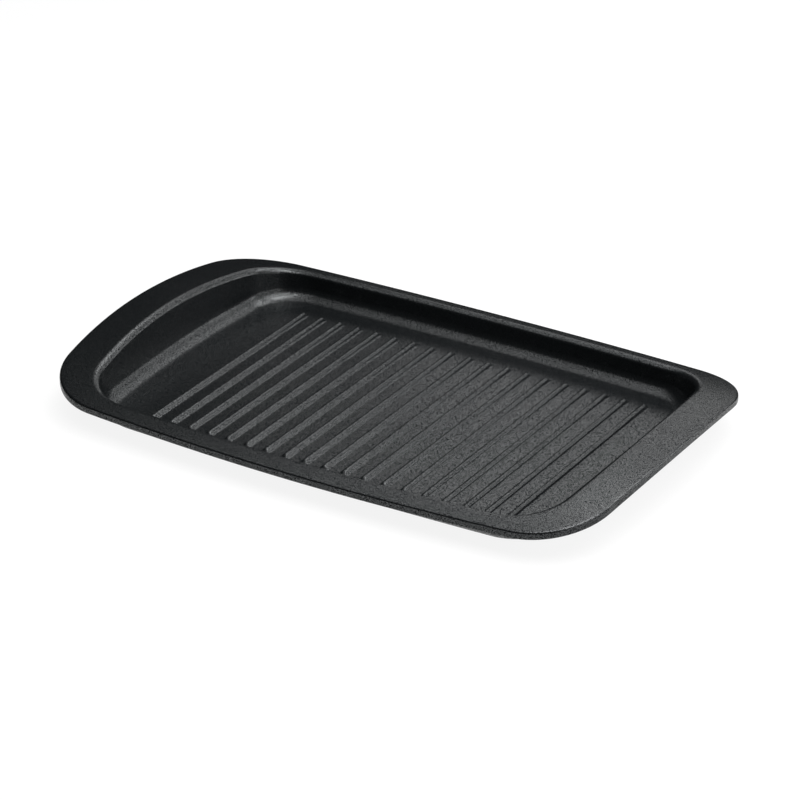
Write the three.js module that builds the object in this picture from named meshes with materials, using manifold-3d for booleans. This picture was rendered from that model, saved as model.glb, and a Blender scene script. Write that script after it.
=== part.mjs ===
// Two-burner grill plate in cast aluminium with a non-stick coat. Millimetres, +Z up, long axis on X.
// The casting is one piece: a ribbed floor, drafted walls and a rim that widens into a handle at each
// end. The rim rises in an arch from the long sides to the middle of each handle.
// Two perforated steel discs are pressed flush into the underside, one under each cooking zone.
// The origin is the middle of the face that the plate stands on.

import * as THREE from "three";
import { mergeVertices } from "three/addons/utils/BufferGeometryUtils.js";
import Module from "manifold-3d";

const wasm = await Module();
wasm.setup();

// Outer edge of the rim, seen from above
const plateLength = 457;
const plateWidth = 292.8;
const rimEndBow = 14.5; // how far the middle of an end stands out past its corners
const rimSideBow = 11.2;
const rimCornerRadius = 56;

// Rim, from its outer edge to the mouth of the well
const handleDepth = 26.6; // in the middle of an end
const sideRimWidth = 11.15; // in the middle of a long side
const wellEndBow = 14.4;
const wellSideBow = 7.8;
const rimCornerStep = 11.2; // how much smaller the well's corner radius is than the rim's
const rimThickness = 6.2;
const rimEdgeRadius = 1.6;

// Heights
const floorThickness = 4;
const sideRimHeight = 17.05; // from the floor up to the rim's outer edge on a long side
const handleRise = 17.8; // from there up to the middle of a handle

// Wall
const wallDraftDegrees = 12; // in the middle of an end and of a side; steeper at the corners
const wallThickness = 3.4;
const lipRadius = 5.3; // rounding between the rim and the wall
const underRimRadius = 4.5; // the hollow fillet between the rim and the wall, outside
const floorFilletRadius = 11;
const baseEdgeRadius = 17; // where the base turns up into the wall; limited by the wall's height

// Floor
const floorEndBow = 9;
const floorSideBow = 5.2;
const floorCornerStep = 14.8; // how much smaller the floor's corner radius is than the well's

// Ribs across the floor
const ribPitch = 16.2;
const ribWidth = 7.4;
const ribHeight = 2.8;
const ribEndMargin = 17.4; // from a rib's end to the edge of the flat floor
const ribFieldMargin = 32; // least distance from an outer rib to the end of the flat floor
const ribFieldShift = 2.65; // the rib field sits this far towards +X
const ribEndRun = 3; // length over which a rib's end is rounded down
const ribSink = 1; // how far a rib's root runs into the floor

// Steel discs in the underside
const discThickness = 1;
const discMargin = 15; // from a disc to the middle of the base and to its edge
const discHoleDiameter = 8;
const discHoleRingStep = 21; // from one ring of holes to the next
const discHoleEdgeMargin = 10; // least distance from the outer ring of holes to the disc's edge
const castingClearance = 0.3; // between the steel and the aluminium round and inside it

const overrun = 2; // how far a cut runs out past the face that it opens

// Facets in each bend
const endSteps = 5;
const cornerSteps = 9;
const sideSteps = 7;
const edgeSteps = 2;
const lipSteps = 3;
const filletSteps = 4;
const discSteps = 64;
const holeSteps = 8;

// A rib's outline over one half, as shares of its half width and of its height
const ribSectionShares = [
  [1, 0],
  [0.78, 0.18],
  [0.6, 0.48],
  [0.42, 0.8],
  [0.18, 1],
];
// How a rib's end rises: shares of the end run, of the width and of the full height with its root
const ribEndShares = [
  [0, 0.8, 0.15],
  [0.2, 0.92, 0.62],
  [0.55, 0.98, 0.9],
  [1, 1, 1],
];

const draft = THREE.MathUtils.degToRad(wallDraftDegrees);
const wallTurn = Math.PI / 2 - draft; // how far a surface turns from level to the wall
const cornerReachShare = Math.tan(wallTurn / 2); // from a fillet's sharp corner to its edge, per radius
const wallAcross = wallThickness / Math.cos(draft);
const rimTop = floorThickness + sideRimHeight;

// Height of the rim's upper face at a distance y from the long axis.
function rimHeight(y) {
  return rimTop + handleRise * (1 - (2 * y / plateWidth) ** 2);
}

// How far a wall leans inwards between the mouth of the well and the flat floor.
function wallLean(mouthHeight) {
  const radii = lipRadius + floorFilletRadius;
  const straight = mouthHeight - floorThickness - radii * (1 - Math.sin(draft));
  return radii * Math.cos(draft) + straight * Math.tan(draft);
}

const rimPlan = {
  halfLength: plateLength / 2,
  halfWidth: plateWidth / 2,
  endBow: rimEndBow,
  sideBow: rimSideBow,
  corner: rimCornerRadius,
};
const wellPlan = {
  halfLength: rimPlan.halfLength - handleDepth,
  halfWidth: rimPlan.halfWidth - sideRimWidth,
  endBow: wellEndBow,
  sideBow: wellSideBow,
  corner: rimCornerRadius - rimCornerStep,
};
const floorPlan = {
  halfLength: wellPlan.halfLength - wallLean(rimHeight(0)),
  halfWidth: wellPlan.halfWidth - wallLean(rimHeight(wellPlan.halfWidth)),
  endBow: floorEndBow,
  sideBow: floorSideBow,
  corner: wellPlan.corner - floorCornerStep,
};
// The wall's outer face meets the rim's underside here, and the base here.
const underRimPlan = grown(
  wellPlan,
  wallAcross - lipRadius * Math.cos(draft) + underRimRadius * Math.cos(draft)
    - (rimThickness + (underRimRadius - lipRadius) * (1 - Math.sin(draft))) * Math.tan(draft),
);
const outerWallHeight = rimHeight(wellPlan.halfWidth) - rimThickness
  - underRimRadius * (1 - Math.sin(draft));
const baseEdge = Math.min(baseEdgeRadius, outerWallHeight / (1 - Math.sin(draft)));
const basePlan = grown(
  floorPlan,
  (floorFilletRadius - baseEdge) * cornerReachShare
    + wallAcross - floorThickness * Math.tan(draft),
);

// The same outline moved outwards all round.
function grown(plan, by) {
  return {
    ...plan,
    halfLength: plan.halfLength + by,
    halfWidth: plan.halfWidth + by,
    corner: plan.corner + by,
  };
}

// Radius of a side's arc from its half chord and how far it bows out.
function bowRadius(halfChord, bow) {
  return (halfChord ** 2 + bow ** 2) / (2 * bow);
}

function arc(centre, radius, from, to, steps) {
  const curve = new THREE.EllipseCurve(centre.x, centre.y, radius, radius, from, to, to < from);
  return curve.getPoints(steps);
}

// One quarter of an outline, from the middle of the +X end to the middle of the +Y side: the end's arc,
// the corner's, which touches both others from inside, and the side's.
function planQuarter(plan) {
  const endRadius = bowRadius(plan.halfWidth, plan.endBow);
  const sideRadius = bowRadius(plan.halfLength, plan.sideBow);
  const endCentre = new THREE.Vector2(plan.halfLength - endRadius, 0);
  const sideCentre = new THREE.Vector2(0, plan.halfWidth - sideRadius);
  const apart = sideCentre.clone().sub(endCentre);
  const toEnd = endRadius - plan.corner;
  const toSide = sideRadius - plan.corner;
  const along = (toEnd ** 2 - toSide ** 2 + apart.lengthSq()) / (2 * apart.length());
  const across = Math.sqrt(toEnd ** 2 - along ** 2);
  const direction = apart.clone().normalize();
  const sideways = new THREE.Vector2(-direction.y, direction.x);
  const corner = endCentre.clone().addScaledVector(direction, along).addScaledVector(sideways, across);
  const endTurn = corner.clone().sub(endCentre).angle();
  const sideTurn = corner.clone().sub(sideCentre).angle();
  return [
    ...arc(endCentre, endRadius, 0, endTurn, endSteps),
    ...arc(corner, plan.corner, endTurn, sideTurn, cornerSteps).slice(1),
    ...arc(sideCentre, sideRadius, sideTurn, Math.PI / 2, sideSteps).slice(1),
  ];
}

// The whole outline, anticlockwise from above.
function planRing(plan) {
  const quarter = planQuarter(plan);
  const half = [
    ...quarter,
    ...quarter.slice(0, -1).reverse().map((p) => new THREE.Vector2(-p.x, p.y)),
  ];
  return [...half, ...half.slice(1, -1).reverse().map((p) => new THREE.Vector2(p.x, -p.y))];
}

// A ring of the outline that follows the rim's arch, a given drop below its upper face.
function rimRing(plan, drop) {
  return planRing(plan).map((p) => new THREE.Vector3(p.x, p.y, rimHeight(p.y) - drop));
}

function levelRing(plan, z) {
  return planRing(plan).map((p) => new THREE.Vector3(p.x, p.y, z));
}

// Places round a bend that starts level: how far along, and how far down or up, at each step.
function bend(radius, turn, steps) {
  return Array.from({ length: steps + 1 }, (_, i) => {
    const angle = (turn * i) / steps;
    return { run: radius * Math.sin(angle), fall: radius * (1 - Math.cos(angle)) };
  });
}

// A closed body through rings of equally many points, with a fan of facets over each end.
function loft(rings) {
  const count = rings[0].length;
  const middle = (ring) => ring.reduce((sum, p) => sum.add(p), new THREE.Vector3()).divideScalar(count);
  const points = [...rings.flat(), middle(rings[0]), middle(rings.at(-1))];
  const start = points.length - 2;
  const end = points.length - 1;
  const last = (rings.length - 1) * count;
  const index = [];
  for (let i = 0; i < count; i += 1) {
    const next = (i + 1) % count;
    for (let base = 0; base < last; base += count) {
      index.push(base + i, base + count + i, base + count + next);
      index.push(base + i, base + count + next, base + next);
    }
    index.push(start, i, next);
    index.push(end, last + next, last + i);
  }
  const geometry = new THREE.BufferGeometry().setFromPoints(points);
  geometry.setIndex(index);
  return geometry;
}

// The casting without ribs: up out of the floor, over the rim and back down to the base.
function trayShell() {
  const rounding = bend(rimEdgeRadius, Math.PI, 2 * edgeSteps);
  const upper = rounding.slice(0, edgeSteps + 1);
  const lower = rounding.slice(edgeSteps);
  const toFlatSide = rimThickness - 2 * rimEdgeRadius;
  return loft([
    ...bend(floorFilletRadius, wallTurn, filletSteps)
      .map(({ run, fall }) => levelRing(grown(floorPlan, run), floorThickness + fall)),
    ...bend(lipRadius, wallTurn, lipSteps).reverse()
      .map(({ run, fall }) => rimRing(grown(wellPlan, -run), fall)),
    ...upper.map(({ run, fall }) => rimRing(grown(rimPlan, run - rimEdgeRadius), fall)),
    ...lower.map(({ run, fall }) => rimRing(grown(rimPlan, run - rimEdgeRadius), fall + toFlatSide)),
    ...bend(underRimRadius, wallTurn, lipSteps)
      .map(({ run, fall }) => rimRing(grown(underRimPlan, -run), rimThickness + fall)),
    ...bend(baseEdge, wallTurn, filletSteps).reverse()
      .map(({ run, fall }) => levelRing(grown(basePlan, run), fall)),
  ]);
}

// One rib across the floor at x, with its root sunk into the floor and its ends rounded down.
function rib(x) {
  const halfLength = floorPlan.halfWidth - ribEndMargin;
  const half = ribSectionShares.map(([wide, high]) => [wide, ribSink + high * ribHeight]);
  const section = [...half, ...half.toReversed().map(([wide, high]) => [-wide, high])];
  const outline = [[1, 0], ...section, [-1, 0]];
  const ringAt = (y, wideShare, highShare) => outline.map(([wide, high]) => new THREE.Vector3(
    x + (wide * wideShare * ribWidth) / 2,
    y,
    floorThickness - ribSink + high * highShare,
  ));
  const ends = ribEndShares.map(([along, wide, high]) => [halfLength - along * ribEndRun, wide, high]);
  return loft([
    ...ends.map(([y, wide, high]) => ringAt(-y, wide, high)),
    ...ends.toReversed().map(([y, wide, high]) => ringAt(y, wide, high)),
  ]);
}

// As many ribs as the pitch and the margins allow, centred and then shifted.
function ribPlaces() {
  const gaps = Math.floor((2 * (floorPlan.halfLength - ribFieldMargin)) / ribPitch);
  return Array.from({ length: gaps + 1 }, (_, i) => (i - gaps / 2) * ribPitch + ribFieldShift);
}

// Each disc is centred in its half of the base and fills it but for the margin.
const discPlace = basePlan.halfLength / 2;
const discRadius = Math.min(discPlace, basePlan.halfWidth) - discMargin;

// Centres of a disc's holes: one in the middle, and rings of six, twelve, eighteen and so on.
function holeCentres() {
  const rings = Math.floor((discRadius - discHoleEdgeMargin) / discHoleRingStep);
  const centres = [new THREE.Vector2()];
  for (let ring = 1; ring <= rings; ring += 1) {
    const holes = 6 * ring;
    for (let i = 0; i < holes; i += 1) {
      const turn = (2 * Math.PI * i) / holes;
      centres.push(new THREE.Vector2(ring * discHoleRingStep, 0).rotateAround(centres[0], turn));
    }
  }
  return centres;
}

// A perforated disc with its lower face at z = 0.
function perforatedDisc(radius, holeRadius, thickness) {
  const shape = new THREE.Shape(arc(new THREE.Vector2(), radius, 0, 2 * Math.PI, discSteps).slice(1));
  shape.holes = holeCentres().map((centre) => (
    new THREE.Path(arc(centre, holeRadius, 0, 2 * Math.PI, holeSteps).slice(1))
  ));
  return new THREE.ExtrudeGeometry(shape, { depth: thickness, bevelEnabled: false });
}

// The seat of a disc in the casting: as the disc, but wider, so that it leaves the pegs in the holes.
function discSeat(x) {
  const seat = perforatedDisc(
    discRadius + castingClearance,
    discHoleDiameter / 2 - castingClearance,
    discThickness + overrun,
  );
  return seat.translate(x, 0, -overrun);
}

function toSolid(geometry) {
  const bare = geometry.clone();
  bare.deleteAttribute("normal");
  bare.deleteAttribute("uv");
  const merged = mergeVertices(bare);
  return new wasm.Manifold(new wasm.Mesh({
    numProp: 3,
    vertProperties: new Float32Array(merged.attributes.position.array),
    triVerts: new Uint32Array(merged.index.array),
  }));
}

function toGeometry(solid) {
  const mesh = solid.getMesh();
  const geometry = new THREE.BufferGeometry();
  geometry.setAttribute("position", new THREE.BufferAttribute(mesh.vertProperties, mesh.numProp));
  geometry.setIndex(new THREE.BufferAttribute(mesh.triVerts, 1));
  const flat = geometry.toNonIndexed();
  flat.computeVertexNormals();
  return flat;
}

// The whole casting: tray, ribs and the two disc seats.
function castPlate() {
  let solid = toSolid(trayShell());
  for (const x of ribPlaces()) solid = solid.add(toSolid(rib(x)));
  for (const x of [-discPlace, discPlace]) solid = solid.subtract(toSolid(discSeat(x)));
  return toGeometry(solid);
}

const coatedAluminium = new THREE.MeshStandardMaterial({
  color: "#232627",
  roughness: 0.55,
  metalness: 0.1,
});
const stainlessSteel = new THREE.MeshStandardMaterial({
  color: "#a7a6a2",
  roughness: 0.35,
  metalness: 1,
});

function named(name, geometry, material) {
  const mesh = new THREE.Mesh(geometry, material);
  mesh.name = name;
  return mesh;
}

function inductionDisc(name, x) {
  const geometry = perforatedDisc(discRadius, discHoleDiameter / 2, discThickness);
  const mesh = named(name, geometry, stainlessSteel);
  mesh.position.set(x, 0, 0);
  return mesh;
}

const grillPlate = new THREE.Group();
grillPlate.name = "grill_plate";
grillPlate.add(named("cast_plate", castPlate(), coatedAluminium));
grillPlate.add(inductionDisc("induction_disc_left", -discPlace));
grillPlate.add(inductionDisc("induction_disc_right", discPlace));

export default grillPlate;
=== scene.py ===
"""Two-burner grill plate in cast aluminium with a black non-stick coat, on a white studio floor.

Metres, +Z up."""

import math
from collections import namedtuple

import bmesh
import bpy
from mathutils import Matrix, Vector


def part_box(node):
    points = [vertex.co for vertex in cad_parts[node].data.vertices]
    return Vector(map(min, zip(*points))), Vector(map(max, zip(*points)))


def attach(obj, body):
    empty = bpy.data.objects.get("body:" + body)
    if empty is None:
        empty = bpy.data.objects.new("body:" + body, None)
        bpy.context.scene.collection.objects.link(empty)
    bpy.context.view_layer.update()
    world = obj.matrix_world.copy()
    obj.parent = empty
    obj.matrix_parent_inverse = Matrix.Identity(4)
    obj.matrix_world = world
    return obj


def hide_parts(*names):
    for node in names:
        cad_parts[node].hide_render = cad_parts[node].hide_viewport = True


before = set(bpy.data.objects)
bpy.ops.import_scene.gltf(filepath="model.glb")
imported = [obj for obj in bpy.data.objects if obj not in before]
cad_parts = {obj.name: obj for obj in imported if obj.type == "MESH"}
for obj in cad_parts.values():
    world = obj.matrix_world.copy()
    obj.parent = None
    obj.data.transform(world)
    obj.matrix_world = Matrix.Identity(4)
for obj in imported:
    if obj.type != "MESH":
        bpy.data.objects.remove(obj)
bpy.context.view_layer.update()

MM = 0.001

# Sizes of the casting, seen from above. The outer ones come from the frame.
plate_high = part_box("cast_plate")[1]
HALF_LENGTH = plate_high.x
HALF_WIDTH = plate_high.y
RIM_END_BOW = 14.5 * MM
RIM_SIDE_BOW = 11.2 * MM
RIM_CORNER = 56 * MM
HANDLE_DEPTH = 26.6 * MM
SIDE_RIM_WIDTH = 11.15 * MM
WELL_END_BOW = 14.4 * MM
WELL_SIDE_BOW = 7.8 * MM
WELL_CORNER = 44.8 * MM
FLOOR_END_BOW = 9 * MM
FLOOR_SIDE_BOW = 5.2 * MM
FLOOR_CORNER = 30 * MM

# Heights and thicknesses
FLOOR = 4 * MM
HANDLE_RISE = 17.8 * MM
SIDE_RIM_TOP = plate_high.z - HANDLE_RISE
RIM_THICKNESS = 6.2 * MM
WALL_THICKNESS = 3.4 * MM
DRAFT = math.radians(12)

# Radii of the roundings
RIM_EDGE = 1.6 * MM
LIP = 5.3 * MM
FLOOR_FILLET = 11 * MM
UNDER_RIM = 4.5 * MM
BASE_EDGE = 17 * MM
FLAT_MARGIN = 0.6 * MM  # a narrow flat band inside each large flat face, which keeps its shading level

# Ribs
RIB_COUNT = 19
RIB_PITCH = 16.2 * MM
RIB_HEIGHT = 2.8 * MM
RIB_LENGTH = 204.5 * MM
RIB_SHIFT = 2.65 * MM
RIB_SHIFT_FORWARD = 1.75 * MM
RIB_CREST = 2.5 * MM  # radius of its top
RIB_SLOPE = math.radians(71)
RIB_END_RUN = 3.6 * MM
RIB_END_STEPS = 6
RIB_SINK = 2 * MM
RIB_STEP = 0.02 * MM  # the height of the rib's edge over the floor, far too small to see

# Steel discs in the base
DISC_NODES = ("induction_disc_left", "induction_disc_right")
HOLE_RADIUS = 4 * MM
HOLE_RING_STEP = 21 * MM
HOLE_RINGS = 3
FIRST_RING_HOLES = 6
CASTING_CLEARANCE = 0.3 * MM
OVERRUN = 2 * MM

# Steps round a quarter of an outline
END_STEPS = 10
CORNER_STEPS = 24
SIDE_STEPS = 18

# Steps round the other curves, and across the flange
BASE_EDGE_STEPS = 14
UNDER_RIM_STEPS = 8
RIM_EDGE_STEPS = 6
FLANGE_STEPS = 5
LIP_STEPS = 10
FILLET_STEPS = 14
RIB_CREST_STEPS = 7
RIB_ROOT_STEPS = 6
DISC_STEPS = 128
HOLE_STEPS = 32

# Finishing of the meshes
DOUBLED_CORNER = 0.001 * MM  # corners closer than this are merged
SHARP_EDGE = math.radians(30)

# Patterns of the finishes
DROPLET = 0.47 * MM
DROPLET_HEIGHT = 0.03 * MM
LATHE_RING_STEP = 3.77 * MM
LATHE_RING_HEIGHT = 0.02 * MM

# The photograph's view, solved from the ribs and the rim
VIEW_AIM = Vector((0.5, 3.1, 11.7)) * MM
VIEW_AZIMUTH = 31.55
VIEW_ELEVATION = 27.03
VIEW_DISTANCE = 2.581
LENS = 161.8
SENSOR = 36
CLIP_NEAR = 0.05
CLIP_FAR = 200

# The studio round the plate: its softboxes, flag and floor
CEILING = 1.25
BACK_WALL = 1.0
RIGHT_WALL = 1.5
FLAG_PLACE = (0, 0.21, 0.018)
FLAG_LENGTH = 0.7
FLAG_HEIGHT = 0.036
FLOOR_SIZE = 60

Plan = namedtuple("Plan", "half_length half_width end_bow side_bow corner")


def between(first, second, share):
    """An outline part of the way from one to another."""
    return Plan(*(a + (b - a) * share for a, b in zip(first, second)))


def grown(plan, by):
    """The same outline moved outwards all round."""
    return plan._replace(
        half_length=plan.half_length + by,
        half_width=plan.half_width + by,
        corner=plan.corner + by,
    )


def rim_height(y):
    """The rim's upper face: highest in the middle of each handle, lowest along the sides."""
    return SIDE_RIM_TOP + HANDLE_RISE * (1 - (y / HALF_WIDTH) ** 2)


def wall_lean(mouth_height):
    """How far the wall leans inwards between the mouth of the well and the flat floor."""
    radii = LIP + FLOOR_FILLET
    straight = mouth_height - FLOOR - radii * (1 - math.sin(DRAFT))
    return radii * math.cos(DRAFT) + straight * math.tan(DRAFT)


WALL_TURN = math.pi / 2 - DRAFT
WALL_ACROSS = WALL_THICKNESS / math.cos(DRAFT)
RIM_PLAN = Plan(HALF_LENGTH, HALF_WIDTH, RIM_END_BOW, RIM_SIDE_BOW, RIM_CORNER)
WELL_PLAN = Plan(
    HALF_LENGTH - HANDLE_DEPTH, HALF_WIDTH - SIDE_RIM_WIDTH, WELL_END_BOW, WELL_SIDE_BOW, WELL_CORNER
)
FLOOR_PLAN = Plan(
    WELL_PLAN.half_length - wall_lean(rim_height(0)),
    WELL_PLAN.half_width - wall_lean(rim_height(WELL_PLAN.half_width)),
    FLOOR_END_BOW, FLOOR_SIDE_BOW, FLOOR_CORNER,
)
UNDER_RIM_PLAN = grown(
    WELL_PLAN,
    WALL_ACROSS + (UNDER_RIM - LIP) * math.cos(DRAFT)
    - (RIM_THICKNESS + (UNDER_RIM - LIP) * (1 - math.sin(DRAFT))) * math.tan(DRAFT),
)
BASE_PLAN = grown(
    FLOOR_PLAN,
    (FLOOR_FILLET - BASE_EDGE) * math.tan(WALL_TURN / 2) + WALL_ACROSS - FLOOR * math.tan(DRAFT),
)


def arc(centre, radius, start, end, steps):
    """Points round an arc, both ends included."""
    angles = [start + (end - start) * i / steps for i in range(steps + 1)]
    return [centre + radius * Vector((math.cos(a), math.sin(a))) for a in angles]


def outline(plan):
    """The outline of a plan, anticlockwise: each quarter is the end's arc, the corner's and the side's."""
    end_radius = (plan.half_width**2 + plan.end_bow**2) / (2 * plan.end_bow)
    side_radius = (plan.half_length**2 + plan.side_bow**2) / (2 * plan.side_bow)
    end_centre = Vector((plan.half_length - end_radius, 0))
    side_centre = Vector((0, plan.half_width - side_radius))
    apart = side_centre - end_centre
    to_end = end_radius - plan.corner
    to_side = side_radius - plan.corner
    along = (to_end**2 - to_side**2 + apart.length_squared) / (2 * apart.length)
    across = math.sqrt(to_end**2 - along**2)
    ahead = apart.normalized()
    corner = end_centre + ahead * along + Vector((-ahead.y, ahead.x)) * across
    end_turn = math.atan2(*(corner - end_centre).yx)
    side_turn = math.atan2(*(corner - side_centre).yx)
    quarter = (
        arc(end_centre, end_radius, 0, end_turn, END_STEPS)
        + arc(corner, plan.corner, end_turn, side_turn, CORNER_STEPS)[1:]
        + arc(side_centre, side_radius, side_turn, math.pi / 2, SIDE_STEPS)[1:]
    )
    half = quarter + [Vector((-p.x, p.y)) for p in reversed(quarter[:-1])]
    return half + [Vector((p.x, -p.y)) for p in reversed(half[1:-1])]


def level_ring(plan, z):
    """A ring at one height."""
    return [Vector((p.x, p.y, z)) for p in outline(plan)]


def arched_ring(plan, drop):
    """A ring that follows the rim's arch, a given drop below its upper face."""
    return [Vector((p.x, p.y, rim_height(p.y) - drop)) for p in outline(plan)]


def bend(radius, turn, steps):
    """Places round a bend that starts level: how far along and how far down or up, at each step."""
    angles = [turn * i / steps for i in range(steps + 1)]
    return [(radius * math.sin(a), radius * (1 - math.cos(a))) for a in angles]


def shell_rings():
    """The casting's section, ring by ring: from the base up the outside, over the rim and into the well."""
    base_edge = bend(BASE_EDGE, WALL_TURN, BASE_EDGE_STEPS)
    under_rim = bend(UNDER_RIM, WALL_TURN, UNDER_RIM_STEPS)
    rim_edge = bend(RIM_EDGE, math.pi / 2, RIM_EDGE_STEPS)
    lip = bend(LIP, WALL_TURN, LIP_STEPS)
    fillet = bend(FLOOR_FILLET, WALL_TURN, FILLET_STEPS)
    flange = [i / FLANGE_STEPS for i in range(1, FLANGE_STEPS)]
    outer = grown(RIM_PLAN, -RIM_EDGE)
    rings = [level_ring(grown(BASE_PLAN, -FLAT_MARGIN), 0)]
    rings += [level_ring(grown(BASE_PLAN, run), rise) for run, rise in base_edge]
    rings += [
        arched_ring(grown(UNDER_RIM_PLAN, -run), RIM_THICKNESS + fall) for run, fall in reversed(under_rim)
    ]
    rings += [arched_ring(between(UNDER_RIM_PLAN, outer, share), RIM_THICKNESS) for share in flange]
    rings += [arched_ring(grown(outer, run), RIM_THICKNESS - fall) for run, fall in rim_edge]
    rings += [arched_ring(grown(outer, run), fall) for run, fall in reversed(rim_edge)]
    rings += [arched_ring(between(outer, WELL_PLAN, share), 0) for share in flange]
    rings += [arched_ring(grown(WELL_PLAN, -run), fall) for run, fall in lip]
    rings += [level_ring(grown(FLOOR_PLAN, run), FLOOR + rise) for run, rise in reversed(fillet)]
    rings += [level_ring(grown(FLOOR_PLAN, -FLAT_MARGIN), FLOOR)]
    return rings


def drawn_through(name, rings):
    """A closed body: one face is extruded from ring to ring and set on each in turn."""
    bpy.ops.object.select_all(action="DESELECT")
    bpy.ops.mesh.primitive_circle_add(vertices=len(rings[0]), radius=HALF_WIDTH, fill_type="NGON")
    body = bpy.context.object
    body.name = name
    bpy.ops.object.mode_set(mode="EDIT")
    mesh = bmesh.from_edit_mesh(body.data)
    station = mesh.verts.layers.int.new("station")
    for i, vertex in enumerate(mesh.verts):
        vertex[station] = i
    for step, ring in enumerate(rings):
        if step:
            bpy.ops.mesh.extrude_region_move()
        mesh = bmesh.from_edit_mesh(body.data)
        station = mesh.verts.layers.int["station"]
        for vertex in mesh.verts:
            if vertex.select:
                vertex.co = ring[vertex[station]]
        bmesh.update_edit_mesh(body.data)
    bpy.ops.mesh.select_all(action="SELECT")
    bpy.ops.mesh.normals_make_consistent(inside=False)
    bpy.ops.object.mode_set(mode="OBJECT")
    body.data.attributes.remove(body.data.attributes["station"])
    return body


def rib_section():
    """The rib's section: root fillet, crest and root fillet, as places across it and heights."""
    root_radius = RIB_HEIGHT / (1 - math.cos(RIB_SLOPE)) - RIB_CREST
    half_width = (RIB_CREST + root_radius) * math.sin(RIB_SLOPE)
    crest = [(run, RIB_HEIGHT - fall) for run, fall in bend(RIB_CREST, RIB_SLOPE, RIB_CREST_STEPS)]
    root = [(half_width - run, rise) for run, rise in bend(root_radius, RIB_SLOPE, RIB_ROOT_STEPS)]
    half = crest + root[-2::-1]
    return [(-across, height) for across, height in half[:0:-1]] + half


def rib():
    """One rib over the middle of the floor, running down to nothing at both ends."""
    section = rib_section()
    edge = section[-1][0]
    ramp = [
        (RIB_END_RUN * i / RIB_END_STEPS, (1 - math.cos(math.pi * i / RIB_END_STEPS)) / 2)
        for i in range(RIB_END_STEPS + 1)
    ]
    ends = [(run - RIB_LENGTH / 2, share) for run, share in ramp]
    stations = ends + [(-y, share) for y, share in reversed(ends)]
    rings = []
    for y, share in stations:
        top = [Vector((across, y, FLOOR + RIB_STEP + height * share)) for across, height in section]
        rings.append([Vector((-edge, y, FLOOR - RIB_SINK))] + top + [Vector((edge, y, FLOOR - RIB_SINK))])
    return drawn_through("rib", rings)


def copied(body, places):
    """Copies of a body, each with its own mesh, joined into one. The first one stays where it is drawn."""
    copies = []
    for place in places:
        copy = body.copy()
        copy.data = body.data.copy()
        copy.data.transform(Matrix.Translation(place))
        bpy.context.collection.objects.link(copy)
        copies.append(copy)
    bpy.data.objects.remove(body)
    bpy.ops.object.select_all(action="DESELECT")
    for copy in copies:
        copy.select_set(True)
    bpy.context.view_layer.objects.active = copies[0]
    bpy.ops.object.join()
    return bpy.context.object


def boolean(body, cutter, operation):
    """Joins or cuts a body with another, which is used up."""
    modifier = body.modifiers.new(operation.lower(), "BOOLEAN")
    modifier.object = cutter
    modifier.operation = operation
    modifier.solver = "EXACT"
    bpy.ops.object.select_all(action="DESELECT")
    bpy.context.view_layer.objects.active = body
    body.select_set(True)
    bpy.ops.object.modifier_apply(modifier=modifier.name)
    bpy.data.objects.remove(cutter)


def cylinder(radius, low, high, x, y, steps):
    """An upright cylinder between two heights, with its place in its mesh."""
    bpy.ops.object.select_all(action="DESELECT")
    bpy.ops.mesh.primitive_cylinder_add(
        vertices=steps, radius=radius, depth=high - low, location=(x, y, (low + high) / 2)
    )
    body = bpy.context.object
    bpy.ops.object.transform_apply(location=True, rotation=True, scale=True)
    return body


def perforated_disc(name, x, radius, hole_radius, low, high):
    """A flat disc with one hole in the middle and rings of six, twelve and eighteen round it."""
    disc = cylinder(radius, low, high, x, 0, DISC_STEPS)
    disc.name = name
    punch = cylinder(hole_radius, low - OVERRUN, high + OVERRUN, 0, 0, HOLE_STEPS)
    places = [Vector((x, 0, 0))]
    for ring in range(1, HOLE_RINGS + 1):
        holes = FIRST_RING_HOLES * ring
        for i in range(holes):
            turn = 2 * math.pi * i / holes
            place = Vector((math.cos(turn), math.sin(turn), 0)) * ring * HOLE_RING_STEP
            places.append(place + Vector((x, 0, 0)))
    boolean(disc, copied(punch, places), "DIFFERENCE")
    return disc


def cleaned(body):
    """Merges corners that a boolean leaves on top of each other and drops the empty faces between them."""
    bpy.ops.object.select_all(action="DESELECT")
    body.select_set(True)
    bpy.context.view_layer.objects.active = body
    bpy.ops.object.mode_set(mode="EDIT")
    bpy.ops.mesh.select_all(action="SELECT")
    bpy.ops.mesh.remove_doubles(threshold=DOUBLED_CORNER)
    bpy.ops.mesh.dissolve_degenerate(threshold=DOUBLED_CORNER)
    bpy.ops.object.mode_set(mode="OBJECT")


def smoothed(body):
    """Rounded stretches shade smooth, flat faces stay level and sharp edges stay sharp."""
    bpy.ops.object.select_all(action="DESELECT")
    body.select_set(True)
    bpy.context.view_layer.objects.active = body
    bpy.ops.object.shade_smooth_by_angle(angle=SHARP_EDGE)
    modifier = body.modifiers.new("level_faces", "WEIGHTED_NORMAL")
    modifier.keep_sharp = True
    bpy.ops.object.modifier_apply(modifier=modifier.name)


def cast_plate():
    """The whole casting: tray, ribs and the seats of the two discs."""
    plate = drawn_through("grill_plate_casting", shell_rings())
    first = -(RIB_COUNT - 1) / 2 * RIB_PITCH + RIB_SHIFT
    places = [Vector((first + i * RIB_PITCH, -RIB_SHIFT_FORWARD, 0)) for i in range(RIB_COUNT)]
    boolean(plate, copied(rib(), places), "UNION")
    for node in DISC_NODES:
        low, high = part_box(node)
        seat = perforated_disc(
            "seat", x=(low.x + high.x) / 2, radius=(high.x - low.x) / 2 + CASTING_CLEARANCE,
            hole_radius=HOLE_RADIUS - CASTING_CLEARANCE, low=-OVERRUN, high=high.z,
        )
        boolean(plate, seat, "DIFFERENCE")
    cleaned(plate)
    smoothed(plate)
    return plate


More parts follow.
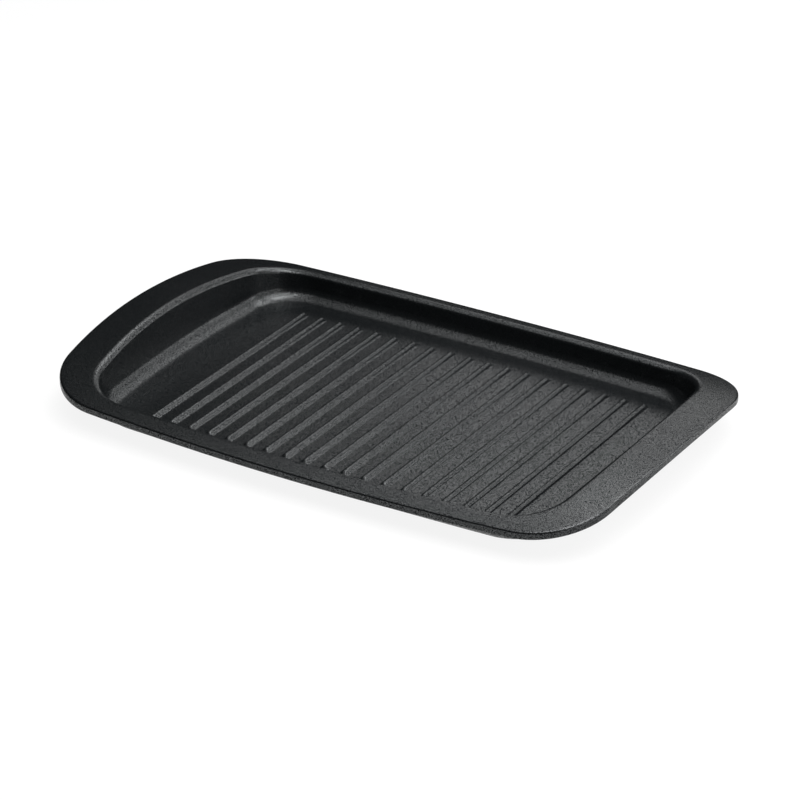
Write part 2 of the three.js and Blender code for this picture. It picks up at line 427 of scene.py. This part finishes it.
def induction_disc(node):
    """A finer disc in place of the frame's faceted one."""
    low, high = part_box(node)
    disc = perforated_disc(
        node + "_steel", x=(low.x + high.x) / 2, radius=(high.x - low.x) / 2,
        hole_radius=HOLE_RADIUS, low=low.z, high=high.z,
    )
    smoothed(disc)
    return disc


def linear(hex_colour):
    """A colour written as an sRGB hex value, turned to the linear values that shaders take."""
    values = [int(hex_colour[i:i + 2], 16) / 255 for i in (1, 3, 5)]
    return [v / 12.92 if v <= 0.04045 else ((v + 0.055) / 1.055) ** 2.4 for v in values] + [1.0]


def add(tree, kind, inputs=None, **settings):
    """Adds a node with its settings. An input is given a value, or another node's output to link."""
    made = tree.nodes.new(kind)
    for name, value in settings.items():
        setattr(made, name, value)
    for name, value in (inputs or {}).items():
        if isinstance(value, bpy.types.NodeSocket):
            tree.links.new(value, made.inputs[name])
        else:
            made.inputs[name].default_value = value
    return made


def new_material(name):
    """A material with an empty node tree."""
    material = bpy.data.materials.new(name)
    material.use_nodes = True
    material.node_tree.nodes.clear()
    return material, material.node_tree


def non_stick_coat():
    """Sprayed fluoropolymer coat on blasted cast aluminium: near black and satin.

    It dries in fine droplets. Only some of them catch the light, so every lit face is speckled and the
    unlit ones look even."""
    material, tree = new_material("sprayed_non_stick_coat_on_cast_aluminium")
    place = add(tree, "ShaderNodeTexCoord")
    # The real droplets are about 0.3 mm across. They are drawn larger, so that they show in the render.
    grain = add(tree, "ShaderNodeTexNoise", {
        "Vector": place.outputs["Object"], "Scale": 1 / DROPLET, "Detail": 0.0,
    })
    bump = add(tree, "ShaderNodeBump", {
        "Height": grain.outputs["Fac"], "Strength": 1.0, "Distance": DROPLET_HEIGHT,
    })
    droplets = add(tree, "ShaderNodeMapRange", {
        "Value": grain.outputs["Fac"], "From Min": 0.44, "From Max": 0.56, "To Min": 0.0, "To Max": 1.0,
    })
    surface = add(tree, "ShaderNodeBsdfPrincipled", {
        "Base Color": linear("#0f1112"), "Roughness": 0.22, "IOR": 1.5,
        "Specular IOR Level": droplets.outputs["Result"], "Specular Tint": linear("#fafeff"),
        "Normal": bump.outputs["Normal"],
    })
    add(tree, "ShaderNodeOutputMaterial", {"Surface": surface.outputs["BSDF"]})
    return material


def turned_steel(centre):
    """Ferritic stainless steel faced on a lathe: bare metal with fine rings round the disc's middle."""
    material, tree = new_material("turned_ferritic_stainless_steel")
    place = add(tree, "ShaderNodeTexCoord")
    centred = add(tree, "ShaderNodeMapping", {
        "Vector": place.outputs["Object"], "Location": tuple(-centre),
    })
    # Real feed marks are about 0.1 mm apart. They are drawn much further apart, so that they show.
    # At scale 1 the wave turns through 20 radians in a metre.
    rings = add(tree, "ShaderNodeTexWave", {
        "Vector": centred.outputs["Vector"], "Distortion": 0.0,
        "Scale": 2 * math.pi / (20 * LATHE_RING_STEP),
    }, wave_type="RINGS", rings_direction="Z")
    bump = add(tree, "ShaderNodeBump", {
        "Height": rings.outputs["Fac"], "Strength": 0.2, "Distance": LATHE_RING_HEIGHT,
    })
    surface = add(tree, "ShaderNodeBsdfPrincipled", {
        "Base Color": linear("#a9a7a3"), "Metallic": 1.0, "Roughness": 0.32,
        "Normal": bump.outputs["Normal"],
    })
    add(tree, "ShaderNodeOutputMaterial", {"Surface": surface.outputs["BSDF"]})
    return material


def white_floor_paint():
    """Matt white paint, rolled on. It looks white to the camera and in reflections, and takes shadows."""
    material, tree = new_material("matt_white_floor_paint")
    path = add(tree, "ShaderNodeLightPath")
    seen = add(tree, "ShaderNodeMath", {
        0: path.outputs["Is Camera Ray"], 1: path.outputs["Is Glossy Ray"],
    }, operation="ADD")
    shown = add(tree, "ShaderNodeMath", {
        0: seen.outputs[0], 1: path.outputs["Is Transmission Ray"],
    }, operation="ADD", use_clamp=True)
    paint = add(tree, "ShaderNodeBsdfDiffuse", {"Color": linear("#616161")})
    glow = add(tree, "ShaderNodeEmission", {"Color": linear("#f1f1f1"), "Strength": shown.outputs[0]})
    both = add(tree, "ShaderNodeAddShader", {0: paint.outputs[0], 1: glow.outputs[0]})
    add(tree, "ShaderNodeOutputMaterial", {"Surface": both.outputs[0]})
    return material


def studio_floor():
    """A plain white floor that reaches past every view's edge."""
    bpy.ops.object.select_all(action="DESELECT")
    bpy.ops.mesh.primitive_plane_add(size=FLOOR_SIZE, location=(0, 0, 0))
    floor = bpy.context.object
    floor.name = "studio_floor"
    floor.data.materials.append(white_floor_paint())


def flock_card():
    """Card with nylon flock glued on: a black velvet that gives hardly any light back."""
    material, tree = new_material("black_flock_card")
    flock = add(tree, "ShaderNodeBsdfDiffuse", {"Color": linear("#050505")})
    add(tree, "ShaderNodeOutputMaterial", {"Surface": flock.outputs[0]})
    return material


def black_flag():
    """A low black card behind the plate. Only reflections show it, and it keeps the rear rim dark."""
    bpy.ops.object.select_all(action="DESELECT")
    bpy.ops.mesh.primitive_plane_add(size=1, location=FLAG_PLACE, rotation=(math.pi / 2, 0, 0))
    flag = bpy.context.object
    flag.name = "black_flag"
    flag.scale = (FLAG_LENGTH, FLAG_HEIGHT, 1)
    flag.data.materials.append(flock_card())
    flag.visible_camera = False
    flag.visible_diffuse = False
    flag.visible_shadow = False


def towards(azimuth, elevation):
    """The direction from the object to a viewer. Azimuth 0 is in front, and 90 is off the right end."""
    a, e = math.radians(azimuth), math.radians(elevation)
    return Vector((math.sin(a) * math.cos(e), -math.cos(a) * math.cos(e), math.sin(e)))


def softbox(name, place, aim, width, depth, brightness):
    """A soft rectangular lamp, given by how bright its face looks: 1 is white."""
    bpy.ops.object.select_all(action="DESELECT")
    bpy.ops.object.light_add(type="AREA", location=place)
    lamp = bpy.context.object
    lamp.name = name
    lamp.data.shape = "RECTANGLE"
    lamp.data.size = width
    lamp.data.size_y = depth
    lamp.data.energy = brightness * math.pi * width * depth
    lamp.rotation_euler = (Vector(aim) - Vector(place)).to_track_quat("-Z", "Y").to_euler()
    lamp.visible_camera = False


def ceiling_softbox(name, x, y, width, depth, brightness, drop=0.0):
    """A softbox that faces down from the ceiling, or from a little under it."""
    softbox(name, (x, y, CEILING - drop), (x, y, 0), width, depth, brightness)


def back_softbox(name, x, z, width, height, brightness):
    """A softbox that faces forwards from behind the plate."""
    softbox(name, (x, BACK_WALL, z), (x, 0, z), width, height, brightness)


def studio_light():
    """A broad ceiling of softboxes, brightest behind the plate, with others behind and at the right."""
    ceiling_softbox("ceiling_softbox", x=0, y=-0.175, width=1.5, depth=1.75, brightness=1.36)
    ceiling_softbox("rear_ceiling_softbox", x=0.3, y=0.9, width=1.5, depth=0.4, brightness=4.7)
    ceiling_softbox("rear_left_ceiling_softbox", x=-0.6, y=0.9, width=0.3, depth=0.4, brightness=1.4)
    ceiling_softbox("left_ceiling_softbox", x=-0.9, y=0.025, width=0.3, depth=2.15, brightness=0.36)
    ceiling_softbox(
        "right_ceiling_softbox", x=0.6, y=-0.125, width=1.4, depth=1.25, brightness=3.0, drop=0.01
    )
    ceiling_softbox("corner_spot", x=0.15, y=0.15, width=0.4, depth=0.4, brightness=4.5, drop=0.02)
    back_softbox("high_back_softbox", x=0.5, z=0.9, width=2.2, height=0.6, brightness=1.3)
    back_softbox("back_left_softbox", x=-0.7, z=0.9, width=0.2, height=0.6, brightness=0.65)
    back_softbox("middle_back_softbox", x=-0.1, z=0.4, width=1.0, height=0.4, brightness=0.95)
    back_softbox("low_back_softbox", x=0.6, z=0.3, width=0.4, height=0.6, brightness=1.5)
    back_softbox("back_right_softbox", x=1.2, z=0.3, width=0.8, height=0.6, brightness=3.0)
    softbox("right_softbox", (RIGHT_WALL, 0, 0.6), (0, 0, 0.6), width=2.4, depth=1.2, brightness=1.15)


def studio_room():
    """The little light that the room itself gives."""
    world = bpy.data.worlds.new("dim_studio_room")
    world.use_nodes = True
    world.node_tree.nodes.clear()
    room = add(world.node_tree, "ShaderNodeBackground", {"Color": linear("#ffffff"), "Strength": 0.02})
    add(world.node_tree, "ShaderNodeOutputWorld", {"Surface": room.outputs[0]})
    bpy.context.scene.world = world


def camera():
    """The camera at the photograph's viewing angle and distance."""
    direction = towards(VIEW_AZIMUTH, VIEW_ELEVATION)
    bpy.ops.object.camera_add(location=VIEW_AIM + direction * VIEW_DISTANCE, rotation=(0, 0, 0))
    made = bpy.context.object
    made.name = "camera"
    made.rotation_euler = (-direction).to_track_quat("-Z", "Y").to_euler()
    made.data.sensor_width = SENSOR
    made.data.lens = LENS
    made.data.clip_start = CLIP_NEAR
    made.data.clip_end = CLIP_FAR
    bpy.context.scene.camera = made


def dress(piece, material, node):
    """Gives a piece its finish and sets it on the plate's body in place of its CAD node."""
    piece.data.materials.clear()
    piece.data.materials.append(material)
    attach(piece, "root")
    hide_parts(node)


camera()
studio_light()
studio_room()
studio_floor()
black_flag()
dress(cast_plate(), non_stick_coat(), "cast_plate")
for disc_node in DISC_NODES:
    disc_low, disc_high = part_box(disc_node)
    steel = turned_steel((disc_low + disc_high) / 2)
    dress(induction_disc(disc_node), steel, disc_node)
bpy.context.scene.view_settings.view_transform = "Standard"
